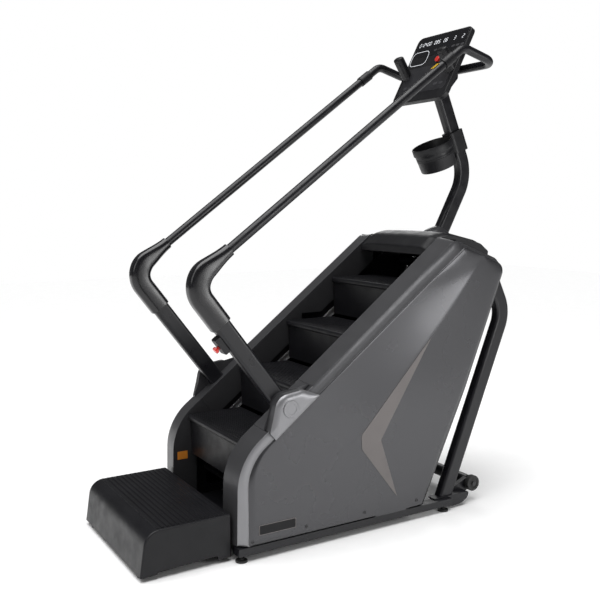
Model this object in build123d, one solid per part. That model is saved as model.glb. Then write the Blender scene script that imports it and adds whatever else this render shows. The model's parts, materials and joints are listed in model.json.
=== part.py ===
from build123d import *
from math import asin, atan2, cos, degrees, hypot, pi, radians, sin, tan
import os

# Stair climber. Millimetres, +Z up, +Y the way the user faces, +X the user's right.
# Everything is drawn with Y = 0 at the front face of the body. write() moves it by ORIGIN_Y, so that the
# middle of the footprint is at the origin.
ORIGIN_Y = -570.7

# ---- driving dimensions --------------------------------------------------------------------------
CLEAR = 1.0                    # gap between neighbouring covers
SHELL = 3.0                    # wall of the moulded covers
RISE, RUN = 203.2, 268.3       # one step
STEP_COUNT = 8                 # steps in the closed loop
NOSE_Y, NOSE_Z = 71.5, 467.0   # nose of the lowest step of the front run
NOSE_HEIGHT = 150.0            # nose above the chain's pitch line
TEETH, LINK = 17, 25.4         # sprocket teeth and chain pitch
ROLLER_R = 7.94

# side cover outline (side view) and its three depths across the width
RIM_ANGLE = 37.7               # slope of the covers' upper edge
RIM_Z0 = 421.7                 # height of that edge's line at Y = 0
FRONT_Y, FRONT_LEAN = -9.0, 0.018
TOP_Z0, TOP_SLOPE = 1722.0, -0.378
REAR_FOOT = (952.0, 66.0)
REAR_KNEE = (1196.0, 582.0)
REAR_TOP = (1398.0, 1071.0)
FRONT_R, TOP_R, REAR_R = 265.0, 40.0, 70.0
LEAST_R = 6.0                  # the insets never round a top corner less than this
PANEL_BOTTOM = 66.0
REAR_BOW_R = 1200.0            # the rear edge bends gently at its knee
RIM_X, CREASE_X, PANEL_X = 265.0, 372.0, 400.0
CREASE_INSET, BEVEL_INSET = 13.0, 55.0
SKIRT_DEPTH = 120.0
RIM_END_Y = 1140.0             # the trims end at the corner between slope and top
HUB_FROM, HUB_TO = 178.0, 452.0   # hub trim, measured along the slope from Y = 0
HUB = (243.0, 612.0)              # handrail pivot
HUB_CAP_R = 36.0
PIVOT_DROP = 34.0                 # pivot bolt below the hub's middle, along the tube

# oval steel tube of the mast, legs and lower handrails
OVAL_W, OVAL_T, OVAL_R, WALL = 75.0, 50.0, 15.0, 3.0
RAIL_X, RAIL_R = 320.0, 20.0
ELBOW = (-163.0, 1142.0)
ELBOW_BEND_R = 85.0
RAIL_SLOPE = radians(36.5)

# base
BASE_X0, BASE_X1, BASE_Z0, BASE_Z1 = 345.0, 398.0, 30.0, 62.0
BASE_LENGTH = 1130.0
FOOT_X, FOOT_YS = 371.5, (24.0, 1096.0)
CROSS_TUBE_YS, CROSS_TUBE_D = (50.0, 880.0), 50.0
WHEEL_YZ, WHEEL_R = (1300.0, 92.0), 38.0
LEG_X = 345.0
SIDE_PLATE_X, SIDE_PLATE_T = 286.0, 6.0

# platform
PLATFORM_W, PLATFORM_TOP, PLATFORM_REAR = 700.0, 199.0, -10.0
PLATFORM_FRONT, PLATFORM_FLOOR = -400.0, 20.0

# console face: lower edge, upper edge, half width
FACE_LOW, FACE_HIGH, FACE_HALF = (1194.0, 1948.0), (1376.0, 2295.0), 200.0
CONSOLE_FRONT_T, CONSOLE_BACK_T = 24.0, 32.0

# ---- derived -------------------------------------------------------------------------------------
PITCH = hypot(RISE, RUN)
ALONG = (RUN / PITCH, RISE / PITCH)          # unit vector up the stairs, in (Y, Z)
ABOVE = (-ALONG[1], ALONG[0])                # unit vector out of the stairs
SPROCKET_R = LINK / (2 * sin(pi / TEETH))
RUN_LENGTH = (STEP_COUNT * PITCH - 2 * pi * SPROCKET_R) / 2
TRAVEL = pi * SPROCKET_R
LOWER = (NOSE_Y - (SPROCKET_R + NOSE_HEIGHT) * ABOVE[0], NOSE_Z - (SPROCKET_R + NOSE_HEIGHT) * ABOVE[1])
UPPER = (LOWER[0] + RUN_LENGTH * ALONG[0], LOWER[1] + RUN_LENGTH * ALONG[1])
RIM_DIR = (cos(radians(RIM_ANGLE)), sin(radians(RIM_ANGLE)))
RIM_OUT = (-RIM_DIR[1], RIM_DIR[0])
TUBE_LEN = hypot(HUB[0] - ELBOW[0], HUB[1] - ELBOW[1])
DOWN = ((HUB[0] - ELBOW[0]) / TUBE_LEN, (HUB[1] - ELBOW[1]) / TUBE_LEN)   # down the lower handrail tube
PIVOT = (HUB[0] + PIVOT_DROP * DOWN[0], HUB[1] + PIVOT_DROP * DOWN[1])

os.makedirs("parts", exist_ok=True)


# ---- helpers -------------------------------------------------------------------------------------
def write(name, *shapes):
    """Write one node: its solids, moved to the row's origin."""
    solids = [s for shape in shapes for s in shape.solids()]
    whole = solids[0] if len(solids) == 1 else Compound(children=solids)
    export_step(whole.moved(Location((0, ORIGIN_Y, 0))), f"parts/{name}.step")


def write_pair(name, shape):
    """Write the right-hand piece and its mirror image."""
    write(f"{name}_right", shape)
    write(f"{name}_left", mirror(shape, about=Plane.YZ))


def both(shape):
    return [shape, mirror(shape, about=Plane.YZ)]


def unit(a, b):
    d = hypot(b[0] - a[0], b[1] - a[1])
    return ((b[0] - a[0]) / d, (b[1] - a[1]) / d)


def shift(p, direction, distance):
    return (p[0] + direction[0] * distance, p[1] + direction[1] * distance)


def meet(p, d, q, e):
    """Where the line through p along d crosses the line through q along e."""
    det = d[0] * e[1] - d[1] * e[0]
    s = ((q[0] - p[0]) * e[1] - (q[1] - p[1]) * e[0]) / det
    return shift(p, d, s)


def outline_face(points, radii=None, x=0.0):
    """Closed face in the plane X = x through (y, z) points, each corner rounded to its radius."""
    radii = radii or [0] * len(points)
    edges, stops = [], []
    for i, (p, r) in enumerate(zip(points, radii)):
        before, after = points[i - 1], points[(i + 1) % len(points)]
        if r == 0:
            stops.append((p, p, None))
            continue
        u, v = unit(p, before), unit(p, after)
        half = 0.5 * abs(atan2(u[0] * v[1] - u[1] * v[0], u[0] * v[0] + u[1] * v[1]))
        bis = unit((0, 0), (u[0] + v[0], u[1] + v[1]))
        reach, centre = r / tan(half), shift(p, bis, r / sin(half))
        stops.append((shift(p, u, reach), shift(p, v, reach), shift(centre, bis, -r)))
    for i, (start, end, mid) in enumerate(stops):
        if mid:
            edges.append(ThreePointArc((x, *start), (x, *mid), (x, *end)))
        edges.append(Line((x, *end), (x, *stops[(i + 1) % len(stops)][0])))
    return make_face(edges)


def slab(points, x0, x1, radii=None):
    """(y, z) outline extruded from X = x0 to X = x1."""
    return extrude(outline_face(points, radii, x0), amount=x1 - x0, dir=(1, 0, 0))


def rod(y, z, r, x0, x1):
    """Cylinder along X."""
    return Pos((x0 + x1) / 2, y, z) * Cylinder(r, abs(x1 - x0), rotation=(0, 90, 0))


def post(x, y, r, z0, z1):
    """Cylinder along Z."""
    return Pos(x, y, (z0 + z1) / 2) * Cylinder(r, z1 - z0)


def block(x0, x1, y0, y1, z0, z1):
    return Pos((x0 + x1) / 2, (y0 + y1) / 2, (z0 + z1) / 2) * Box(x1 - x0, y1 - y0, z1 - z0)


def bent(points, x, section, radius):
    """Sweep a section along straight runs and one bend radius in the plane X = x."""
    places = [(x, *p) for p in points]
    line = Polyline(*places) if len(places) == 2 else FilletPolyline(*places, radius=radius)
    start = Plane(line @ 0, x_dir=(1, 0, 0), z_dir=line % 0)
    return sweep(start * section, path=line, transition=Transition.ROUND)


def oval(grow=0.0):
    return RectangleRounded(OVAL_T + 2 * grow, OVAL_W + 2 * grow, max(OVAL_R + grow, 2))


def oval_tube(points, x, radius):
    """Hollow oval tube, its long side in the YZ plane."""
    return bent(points, x, oval(), radius) - bent(points, x, oval(-WALL), radius)


def round_tube(points, x, r, radius, wall=2.5):
    return bent(points, x, Circle(r), radius) - bent(points, x, Circle(r - wall), radius)


def cover_outline(inset, rear=0.0, bottom=PANEL_BOTTOM):
    """Corner points and radii of the cover seen from the side: front, slope and top moved in by inset."""
    front = ((FRONT_Y + inset, 0.0), (FRONT_LEAN, 1.0))
    slope = (shift((0.0, RIM_Z0), RIM_OUT, -inset), RIM_DIR)
    top_dir = unit((0, 0), (1.0, TOP_SLOPE))
    top = (shift((0.0, TOP_Z0), (top_dir[1], -top_dir[0]), inset), top_dir)
    back_dir = unit(REAR_KNEE, REAR_TOP)
    low_dir = unit(REAR_FOOT, REAR_KNEE)
    back = (shift(REAR_TOP, (-back_dir[1], back_dir[0]), rear), back_dir)
    low = (shift(REAR_FOOT, (-low_dir[1], low_dir[0]), rear), low_dir)
    floor = ((0.0, bottom), (1.0, 0.0))
    points = [meet(*front, *floor), meet(*front, *slope), meet(*slope, *top), meet(*top, *back),
              meet(*back, *low), meet(*low, *floor)]
    top_r, rear_r = max(TOP_R - inset, LEAST_R), max(REAR_R - inset, 2 * LEAST_R)
    return points, [0, FRONT_R - inset, top_r, rear_r, REAR_BOW_R, 0]


def cover_face(x, inset, rear=0.0, bottom=PANEL_BOTTOM):
    points, radii = cover_outline(inset, rear, bottom)
    return outline_face(points, radii, x)


def cover_slab(x0, x1, inset, rear=0.0, bottom=PANEL_BOTTOM):
    return extrude(cover_face(x0, inset, rear, bottom), amount=x1 - x0, dir=(1, 0, 0))


def along_rim(distance, side):
    """Everything beyond (side = 1) or before (side = -1) a cut square to the slope."""
    at, far = shift((0.0, RIM_Z0), RIM_DIR, distance), 3000.0
    a, b = shift(at, RIM_OUT, far), shift(at, RIM_OUT, -far)
    return slab([a, b, shift(b, RIM_DIR, side * far), shift(a, RIM_DIR, side * far)], -500, 500)


# ---- base and frame ------------------------------------------------------------------------------
def base_rail():
    rail = block(BASE_X0, BASE_X1, 0, BASE_LENGTH, BASE_Z0, BASE_Z1)
    rail -= block(BASE_X0 + WALL, BASE_X1 - WALL, WALL, BASE_LENGTH - WALL, BASE_Z0 + WALL, BASE_Z1 - WALL)
    for y in FOOT_YS:
        rail -= post(FOOT_X, y, 6.06, BASE_Z0 - 1, BASE_Z1 + 1)
    return rail


def cross_tubes():
    """Two tubes between the base rails and one that carries the mast."""
    tubes = []
    for y in CROSS_TUBE_YS:
        tube = block(-BASE_X0, BASE_X0, y, y + CROSS_TUBE_D, BASE_Z0, BASE_Z1)
        tube -= block(-BASE_X0 - 1, BASE_X0 + 1, y + WALL, y + CROSS_TUBE_D - WALL, BASE_Z0 + WALL,
                      BASE_Z1 - WALL)
        tubes.append(tube)
    return tubes


MAST_TUBE_YZ, MAST_TUBE_R = (1357.0, 1140.0), 25.0


def mast_tube():
    """Upper cross tube with the saddle that the mast is welded to."""
    end = LEG_X - OVAL_T / 2
    tube = rod(*MAST_TUBE_YZ, MAST_TUBE_R, -end, end)
    saddle = slab([(1306, 1150), (1352, 1236), (1386, 1236), (1380, 1130)], -22, 22)
    tube = tube + (saddle - bent(MAST_PATH, 0, oval(0.2), MAST_BEND_R))
    return tube - rod(*MAST_TUBE_YZ, MAST_TUBE_R - WALL, -end - 1, end + 1)


def side_plate():
    """Laser-cut steel plate that carries both shafts and the handrail's foot."""
    x0, x1 = SIDE_PLATE_X, SIDE_PLATE_X + SIDE_PLATE_T
    points = [(64, 64), (64, 330), (190, 500), (232, 582), (275, 624), (330, 620), (1000, 1085), (1240, 1195),
              (1330, 1195), (1330, 1090), (1080, 560), (930, 64)]
    plate = slab(points, x0, x1, [0, 60, 40, 12, 12, 30, 80, 40, 20, 60, 200, 0])
    for window in ([(170, 100), (330, 100), (330, 180), (170, 180)],
                   [(420, 100), (915, 100), (1045, 520), (930, 560)]):
        plate -= slab(window, x0 - 1, x1 + 1, [25] * len(window))
    for yz in (LOWER, UPPER):
        plate -= rod(*yz, 24, x0 - 1, x1 + 1)
    return plate - rod(*PIVOT, 8.05, x0 - 1, x1 + 1)


def bearing(yz):
    """Four-bolt flange bearing on the outside of the side plate."""
    x0 = SIDE_PLATE_X + SIDE_PLATE_T
    body = rod(*yz, 30, x0, x0 + 22) + Pos(x0 + 5, *yz) * Box(10, 84, 84)
    for dy in (-32, 32):
        for dz in (-32, 32):
            body += rod(yz[0] + dy, yz[1] + dz, 6, x0 + 9.5, x0 + 16)
    return body - rod(*yz, SHAFT_R + 0.05, x0 - 1, x0 + 30)


REAR_TUBE_R, AXLE_R = 30.0, 6.0
LEG_PATH = [(1107.0, 36.0), (1472.0, 925.0), (1372.0, 1123.0)]
LEG_BEND_R = 150.0
MAST_PATH = [(1304.0, 1180.0), (1526.5, 1594.5), (1340.5, 2015.0)]
MAST_BEND_R = 200.0


def rear_leg():
    return oval_tube(LEG_PATH, LEG_X, LEG_BEND_R) - block(0, 500, 900, 1300, -50, BASE_Z1 + 6.3)


def rear_bracket():
    """Curved foot that joins base rail, leg and rear cross tube."""
    foot = slab([(1130.3, 30), (1150, 12), (1205, 16), (1252, 40), (1252, 68), (1130.3, 68)], 330, 376,
                [0, 14, 40, 30, 8, 0])
    foot += slab([(1040, 62), (1200, 62), (1200, 68), (1040, 68)], 330, 376)
    arm = slab([(1160, 30), (1220, 30), (1320, 70), (1320, 116), (1280, 116), (1160, 68)], 306, 330.5,
               [6, 30, 26, 20, 20, 20])
    bracket = foot + arm - rod(*WHEEL_YZ, REAR_TUBE_R + 0.2, 300, 318.2)
    return bracket - rod(*WHEEL_YZ, AXLE_R + 0.05, 300, 400)


def rear_tube():
    tube = rod(*WHEEL_YZ, REAR_TUBE_R, -318, 318)
    return tube - rod(*WHEEL_YZ, REAR_TUBE_R - WALL, -312, 312)


def wheel():
    tyre = rod(*WHEEL_YZ, WHEEL_R, 332, 360)
    tyre = fillet(tyre.edges().filter_by(GeomType.CIRCLE), 4)
    tyre -= rod(*WHEEL_YZ, WHEEL_R - 12, 357, 361)
    return tyre - rod(*WHEEL_YZ, AXLE_R + 0.05, 320, 370)


def foot(x, y):
    pad = post(x, y, 25, 0, 9)
    pad = fillet(pad.edges().group_by(Axis.Z)[-1], 3)
    return pad + post(x, y, 11, 8.5, 15) + post(x, y, 6, 14, BASE_Z1 - 8)


# ---- entry platform ------------------------------------------------------------------------------
RIB_PITCH, RIB_H, RIBS = 22.0, 4.0, 14


def platform_shell():
    """Moulded box with a leaning, rounded nose and ribs across its top, open underneath."""
    half = PLATFORM_W / 2
    side = [(PLATFORM_FRONT, PLATFORM_FLOOR), (PLATFORM_FRONT + 26, PLATFORM_TOP),
            (PLATFORM_REAR, PLATFORM_TOP), (PLATFORM_REAR, PLATFORM_FLOOR)]
    body = slab(side, -half, half, [0, 66, 6, 0])
    body = fillet(body.edges().filter_by(lambda e: abs(abs(e.center().X) - half) < 0.1
                                         and e.center().Z > PLATFORM_FLOOR + 1), 7)
    inner = [(PLATFORM_FRONT + 4, 0), (PLATFORM_FRONT + 30, PLATFORM_TOP - 4),
             (PLATFORM_REAR - 4, PLATFORM_TOP - 4), (PLATFORM_REAR - 4, 0)]
    body -= slab(inner, -half + 4, half - 4, [0, 62, 2, 0])
    arch = slab([(-330, 0), (-330, 30), (-70, 36), (-70, 0)], -half - 1, half + 1, [0, 8, 8, 0])
    body -= arch
    for i in range(RIBS):
        y = PLATFORM_REAR - 24 - i * RIB_PITCH
        rib = slab([(y - 7, PLATFORM_TOP - 1), (y - 4, PLATFORM_TOP + RIB_H), (y + 4, PLATFORM_TOP + RIB_H),
                    (y + 7, PLATFORM_TOP - 1)], -half + 16, half - 16, [0, 2, 2, 0])
        body += rib
    return body


def platform_frame():
    """Welded carrier inside the platform, bolted to the body."""
    frame = block(-300, 300, -370, -340, 24, 54)
    for x in (-250, 210):
        frame += block(x, x + 40, -345, -15, 60, 90) + block(x, x + 40, -370, -340, 24, 90)
        frame += block(x, x + 40, -60, -30, 24, PLATFORM_TOP - 4.2)
    frame += block(-300, 300, -345, -315, 60, 90)
    return frame


def platform_pads():
    return [post(x, -368, 22, 0, 24) for x in (-290, 290)]


def well_panel():
    """Dark panel and tray that close the well below the lowest step."""
    width = RIM_X - 3
    panel = block(-width, width, PLATFORM_REAR + 1, PLATFORM_REAR + 5, BASE_Z1 + 2, 190)
    return panel + block(-width, width, PLATFORM_REAR + 1, 420, BASE_Z1 + 1, BASE_Z1 + 5)


# ---- side covers ---------------------------------------------------------------------------------
def side_panel():
    """Outer panel: flat side with a bevelled front, slope and top edge."""
    outer = loft([cover_face(CREASE_X, CREASE_INSET), cover_face(PANEL_X, BEVEL_INSET)], ruled=True)
    inner = loft([cover_face(CREASE_X - 0.5, CREASE_INSET + SHELL, SHELL, PANEL_BOTTOM + SHELL),
                  cover_face(PANEL_X - SHELL, BEVEL_INSET + SHELL, SHELL, PANEL_BOTTOM + SHELL)], ruled=True)
    return (outer - inner) + rear_flange()


def rear_flange():
    """The panel's rear wall, turned inwards beside the leg."""
    x0, x1 = LEG_X - OVAL_T / 2 - 3, CREASE_X + 1
    wall = cover_slab(x0, x1, CREASE_INSET + 1) - cover_slab(x0 - 1, x1 + 1, CREASE_INSET - 5, SHELL, 20)
    wall &= block(x0, x1, 900, 1600, PANEL_BOTTOM, 1105)
    return wall - bent(LEG_PATH, LEG_X, oval(1.0), LEG_BEND_R)


def rim():
    """Top face of the cover and the skirt beside the steps, before it is cut into three trims."""
    x1 = CREASE_X - CLEAR / 2
    outer = loft([cover_face(RIM_X, 0), cover_face(x1, CREASE_INSET)], ruled=True)
    inner = loft([cover_face(RIM_X - 1, SHELL, -30, 20), cover_face(x1 + 1, CREASE_INSET + SHELL, -30, 20)],
                 ruled=True)
    skirt = cover_slab(RIM_X, RIM_X + SHELL, 0)
    skirt -= cover_slab(RIM_X - 1, RIM_X + SHELL + 1, SKIRT_DEPTH, -30, 20)
    whole = (outer - inner) + skirt
    return whole - block(0, 500, RIM_END_Y, 1700, 0, 1500) - block(0, 500, 700, 1700, 0, 900)


def handrail_slot():
    """Room for the lower handrail tube where it enters the hub trim."""
    return bent([shift(HUB, DOWN, 90), shift(HUB, DOWN, -200)], RAIL_X, oval(1.0), 0)


def hub_trim(whole_rim):
    """Silver saddle round the handrail's foot, with a round lobe outside the tube."""
    x0, x1 = RAIL_X + OVAL_T / 2 + 3, PANEL_X + 2
    a, b = shift((0.0, RIM_Z0), RIM_DIR, HUB_FROM + CLEAR), shift((0.0, RIM_Z0), RIM_DIR, HUB_TO - CLEAR)
    drop = 60
    lobe = slab([shift(a, RIM_OUT, -drop), shift(a, RIM_OUT, -2), (HUB[0] - 78, HUB[1] - 24),
                 (HUB[0] - 62, HUB[1] + 62), (HUB[0] + 66, HUB[1] + 74), shift(b, RIM_OUT, -2),
                 shift(b, RIM_OUT, -drop)], x0, x1, [6, 12, 26, 62, 58, 16, 6])
    lobe = fillet(lobe.edges().filter_by(lambda e: abs(e.center().X - x1) < 0.1), 9)
    inside = slab([shift(a, RIM_OUT, -drop - 9), shift(a, RIM_OUT, -2), (HUB[0] - 74, HUB[1] - 24),
                   (HUB[0] - 58, HUB[1] + 57), (HUB[0] + 62, HUB[1] + 68), shift(b, RIM_OUT, -6),
                   shift(b, RIM_OUT, -drop - 9)], x0 + 4, PANEL_X + CLEAR, [0, 12, 26, 58, 54, 12, 0])
    trim = whole_rim & along_rim(HUB_FROM + CLEAR / 2, 1) & along_rim(HUB_TO - CLEAR / 2, -1)
    trim = trim - slab([(100, 300), (100, 900), (500, 900), (500, 300)], x0, 500) - handrail_slot()
    trim = trim + (lobe - inside)
    return trim - rod(*HUB, HUB_CAP_R + 0.3, PANEL_X - 2, PANEL_X + 20)


def hub_cap():
    cap = rod(*HUB, HUB_CAP_R, PANEL_X + CLEAR, PANEL_X + 5)
    cap = fillet(cap.edges().filter_by(lambda e: e.center().X > PANEL_X + 4), 2.5)
    return cap - rod(*HUB, HUB_CAP_R - 12, PANEL_X + 3.5, PANEL_X + 9)


def hub_cutter():
    """Room that the side panel and the other trims leave for the hub trim."""
    a, b = shift((0.0, RIM_Z0), RIM_DIR, HUB_FROM), shift((0.0, RIM_Z0), RIM_DIR, HUB_TO)
    corners = [shift(a, RIM_OUT, -61), shift(a, RIM_OUT, 90), shift(b, RIM_OUT, 90), shift(b, RIM_OUT, -61)]
    return slab(corners, RAIL_X + OVAL_T / 2 + 2, 500, [6, 0, 0, 6])


def accent_strip():
    """Boomerang-shaped strip laid on the side panel."""
    points = [(981, 848), (598, 448), (600, 386), (797, 136), (703, 412)]
    return slab(points, PANEL_X, PANEL_X + 1.6, [0, 25, 25, 0, 20])


def badge_plate():
    return slab([(91, 104), (266, 104), (266, 147), (91, 147)], PANEL_X, PANEL_X + 1.2, [4] * 4)


HOOD_PROFILE = [(1058, 1208), (1060, 1246), (1114, 1300), (1200, 1318), (1400, 1272), (1452, 1222),
                (1444, 1180)]
HOOD_RADII = [0, 12, 60, 200, 60, 20, 0]
HOOD_WALL = 4.0


def hood():
    """Dark convex cover over the top of the stairs, closed at both ends."""
    half = RIM_X - 3
    inner = [(1062, 1200), (1064, 1244), (1116, 1296), (1200, 1314), (1398, 1268), (1448, 1220), (1440, 1170)]
    shell = slab(HOOD_PROFILE, -half, half, HOOD_RADII)
    shell -= slab(inner, -half + HOOD_WALL, half - HOOD_WALL, HOOD_RADII)
    return shell - bent(MAST_PATH, 0, oval(1.0), MAST_BEND_R)


def rear_cover():
    """Back panel between the legs and the cap over the top, between the side panels."""
    x_cap, x_back = CREASE_X - CLEAR, LEG_X - OVAL_T / 2 - 6
    ring = cover_slab(-x_cap, x_cap, 6, -2) - cover_slab(-x_cap - 1, x_cap + 1, 9.5, 1.5, 20)
    cap = ring - block(-500, 500, -100, RIM_END_Y + CLEAR, 0, 1500) - block(-500, 500, -100, 1700, 0, 1112)
    cap -= block(-RIM_X + 2, RIM_X - 2, 1000, 1700, 1175, 1500)
    back = (cover_slab(-x_back, x_back, 6, -2) - cover_slab(-x_back - 1, x_back + 1, 9.5, 1.5, 20))
    back = back - block(-500, 500, -100, 1700, 1111.9, 1500) - block(-500, 500, -100, 940, 0, 1500)
    cover = cap + back
    for x in (-LEG_X, LEG_X):
        cover -= bent(LEG_PATH, x, oval(1.0), LEG_BEND_R)
    return cover


# ---- handrails -----------------------------------------------------------------------------------
UP = (cos(RAIL_SLOPE), sin(RAIL_SLOPE))
ELBOW_REACH = 212.0
COLLAR_AT = 1590.0               # collar's middle, along the upper rail from the elbow's corner


def lower_tube():
    tube = oval_tube([shift(ELBOW, DOWN, 150), shift(PIVOT, DOWN, 20)], RAIL_X, 0)
    return tube - rod(*PIVOT, 8.05, 280, 360)


def upper_rail():
    """Round rail, bent inside the elbow cover and plugged into the lower tube."""
    line = [shift(ELBOW, DOWN, 190), ELBOW, shift(ELBOW, UP, COLLAR_AT)]
    return round_tube(line, RAIL_X, RAIL_R, ELBOW_BEND_R)


def elbow_solid(shrink, extra):
    """Elbow cover's outer form, or its hollow when shrunk: flat-oval below, round at the upper end."""
    w, t = 92 - 2 * shrink, 64 - 2 * shrink
    low = shift(ELBOW, DOWN, ELBOW_REACH + extra)
    turn = ELBOW_BEND_R * 1.02
    mid = shift(ELBOW, UP, turn + 12)
    top = shift(ELBOW, UP, ELBOW_REACH + extra)
    bend = bent([low, ELBOW, mid], RAIL_X, RectangleRounded(t, w, 24 - shrink), ELBOW_BEND_R)
    start, end = [Plane((RAIL_X, *p), x_dir=(1, 0, 0), z_dir=(0, *UP)) for p in (shift(mid, UP, -1), top)]
    round_end = RectangleRounded(54 - 2 * shrink, 54 - 2 * shrink, 26.9 - shrink)
    nose = loft([start * RectangleRounded(t, w, 24 - shrink), end * round_end], ruled=True)
    return bend + nose


def elbow_cover():
    return elbow_solid(0, 0) - elbow_solid(4, 2)


def rail_collar():
    a, b = shift(ELBOW, UP, COLLAR_AT - 34), shift(ELBOW, UP, COLLAR_AT + 34)
    bore = bent([shift(a, UP, -1), shift(b, UP, 1)], RAIL_X, Circle(RAIL_R + 0.1), 0)
    return bent([a, b], RAIL_X, Circle(RAIL_R + 4.5), 0) - bore


BAR_Y, BAR_Z = 1400.0, 2102.0


def bar_line():
    start = shift(ELBOW, UP, COLLAR_AT + 1)
    top = shift(ELBOW, UP, COLLAR_AT + 112)
    right = [(RAIL_X, *start), (RAIL_X, *top), (RAIL_X, BAR_Y, BAR_Z)]
    left = [(-x, y, z) for x, y, z in reversed(right)]
    return FilletPolyline(*right, *left, radius=62)


def console_bar():
    """Bar that loops from one rail to the other behind the console."""
    line = bar_line()
    face = Plane(line @ 0, x_dir=(1, 0, 0), z_dir=line % 0)
    return sweep(face * Circle(RAIL_R), path=line) - sweep(face * Circle(RAIL_R - 2.5), path=line)


STOP_AT = 388.0                  # stop knob, along the tube up from the hub


def stop_frame(distance, out):
    """Point beside the right lower tube: distance up from the hub, out in front of the tube."""
    front = (DOWN[1], -DOWN[0])
    return shift(shift(HUB, DOWN, -distance), front, out)


def stop_box():
    """Switch box on the front of the right lower tube."""
    a, b = STOP_AT - 38, STOP_AT + 38
    near, far = OVAL_W / 2, OVAL_W / 2 + 26
    corners = [stop_frame(a, near), stop_frame(b, near), stop_frame(b, far), stop_frame(a, far)]
    box = slab(corners, RAIL_X - 20, RAIL_X + 20, [0, 0, 7, 7])
    bore = bent([stop_frame(STOP_AT, far - 12), stop_frame(STOP_AT, far + 5)], RAIL_X, Circle(8.3), 0)
    return box - bore


def stop_knob():
    far = OVAL_W / 2 + 26
    stem = bent([stop_frame(STOP_AT, far - 4), stop_frame(STOP_AT, far + 9)], RAIL_X, Circle(8), 0)
    head = bent([stop_frame(STOP_AT, far + 8.5), stop_frame(STOP_AT, far + 21)], RAIL_X, Circle(14), 0)
    head = fillet(head.edges().filter_by(GeomType.CIRCLE), 3)
    return stem + head


# ---- mast, cup holder, console -------------------------------------------------------------------
def mast():
    return oval_tube(MAST_PATH, 0, MAST_BEND_R)


MAST_UP = unit(MAST_PATH[1], MAST_PATH[2])
MAST_LOW = unit(MAST_PATH[0], MAST_PATH[1])
CUP_R, CUP_FOOT_R, CUP_DEPTH, CUP_BAND = 103.0, 90.0, 128.0, 36.0
CUP_RIM_Z = 1803.0
CUP_GAP = 7.0                    # between the mast and the cup
CLAMP_SIDE, CLAMP_BACK = 13.0, 3.0   # clamp's wall beside the mast and behind it


def mast_collar():
    """Boot round the mast where it leaves the hood."""
    foot_at = shift(MAST_PATH[0], MAST_LOW, 100)
    ring = bent([foot_at, shift(foot_at, MAST_LOW, 70)], 0, oval(9), 0)
    ring -= slab([(y, z + 0.5) for y, z in HOOD_PROFILE], -RIM_X, RIM_X, HOOD_RADII)
    return ring - bent([shift(foot_at, MAST_LOW, -1), shift(foot_at, MAST_LOW, 75)], 0, oval(0.3), 0)


def cup_planes():
    """Rim centre of the cup and the direction of its axis, square to the upper mast."""
    at = meet(MAST_PATH[1], MAST_UP, (0, CUP_RIM_Z), (1, 0))
    out = (-MAST_UP[1], MAST_UP[0])
    centre = shift(at, out, OVAL_W / 2 + CUP_GAP + CUP_R)
    return centre, out


def cup_cone(r0, r1, deep0, deep1):
    """Cone frustum along the cup's axis: radius r0 at depth deep0, r1 at depth deep1."""
    centre, _ = cup_planes()
    ends = [shift(centre, MAST_UP, -d) for d in (deep0, deep1)]
    faces = [Plane((0, *e), x_dir=(1, 0, 0), z_dir=(0, *MAST_UP)) * Circle(r) for e, r in zip(ends, (r0, r1))]
    return loft(faces, ruled=True)


def cup_holder():
    """Tapered cup with a deep band at its rim."""
    cup = cup_cone(CUP_R, CUP_R, 0, CUP_BAND) + cup_cone(CUP_R - 5, CUP_FOOT_R, CUP_BAND - 1, CUP_DEPTH)
    return cup - cup_cone(CUP_R - 8, CUP_FOOT_R - 4, -1, CUP_DEPTH - 5)


def cup_clamp():
    """Clamp round the mast that carries the cup, nearly flush behind the mast."""
    centre, out = cup_planes()
    at = shift(centre, out, -(OVAL_W / 2 + CUP_GAP + CUP_R))
    ends = [shift(at, MAST_UP, 8), shift(at, MAST_UP, -100)]
    clamp = bent(ends, 0, RectangleRounded(OVAL_T + 2 * CLAMP_SIDE, OVAL_W + 24, 24), 0)
    behind = [shift(shift(at, MAST_UP, d), out, -OVAL_W / 2 - CLAMP_BACK) for d in (10, -102)]
    clamp -= slab([*behind, *[shift(p, out, -40) for p in reversed(behind)]], -OVAL_W, OVAL_W)
    reach = [shift(at, MAST_UP, d) for d in (-6, -84)]
    bridge = slab([reach[0], shift(reach[0], out, 76), shift(reach[1], out, 76), reach[1]], -34, 34)
    clamp = clamp + bridge - cup_cone(CUP_R + 0.2, CUP_R + 0.2, -20, CUP_BAND + 0.2)
    clamp -= cup_cone(CUP_R - 4.6, CUP_FOOT_R + 0.4, CUP_BAND - 1, CUP_DEPTH)
    return clamp - bent([shift(at, MAST_UP, 30), shift(at, MAST_UP, -130)], 0, oval(0.2), 0)


FACE_UP = unit(FACE_LOW, FACE_HIGH)
FACE_LEN = hypot(FACE_HIGH[0] - FACE_LOW[0], FACE_HIGH[1] - FACE_LOW[1])
FACE = Plane((0, *FACE_LOW), x_dir=(1, 0, 0), z_dir=(0, -FACE_UP[1], FACE_UP[0]))
WINDOW_V, WINDOW_H, WINDOW_W = 322.0, 118.0, 372.0
STOP_UV, STOP_R = (41.0, 226.0), 15.0


def on_face(u, v, depth, shape):
    """Place a sketch on the console's face, depth behind it (positive) or in front of it (negative)."""
    return FACE * Pos(u, v, -depth) * shape


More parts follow.
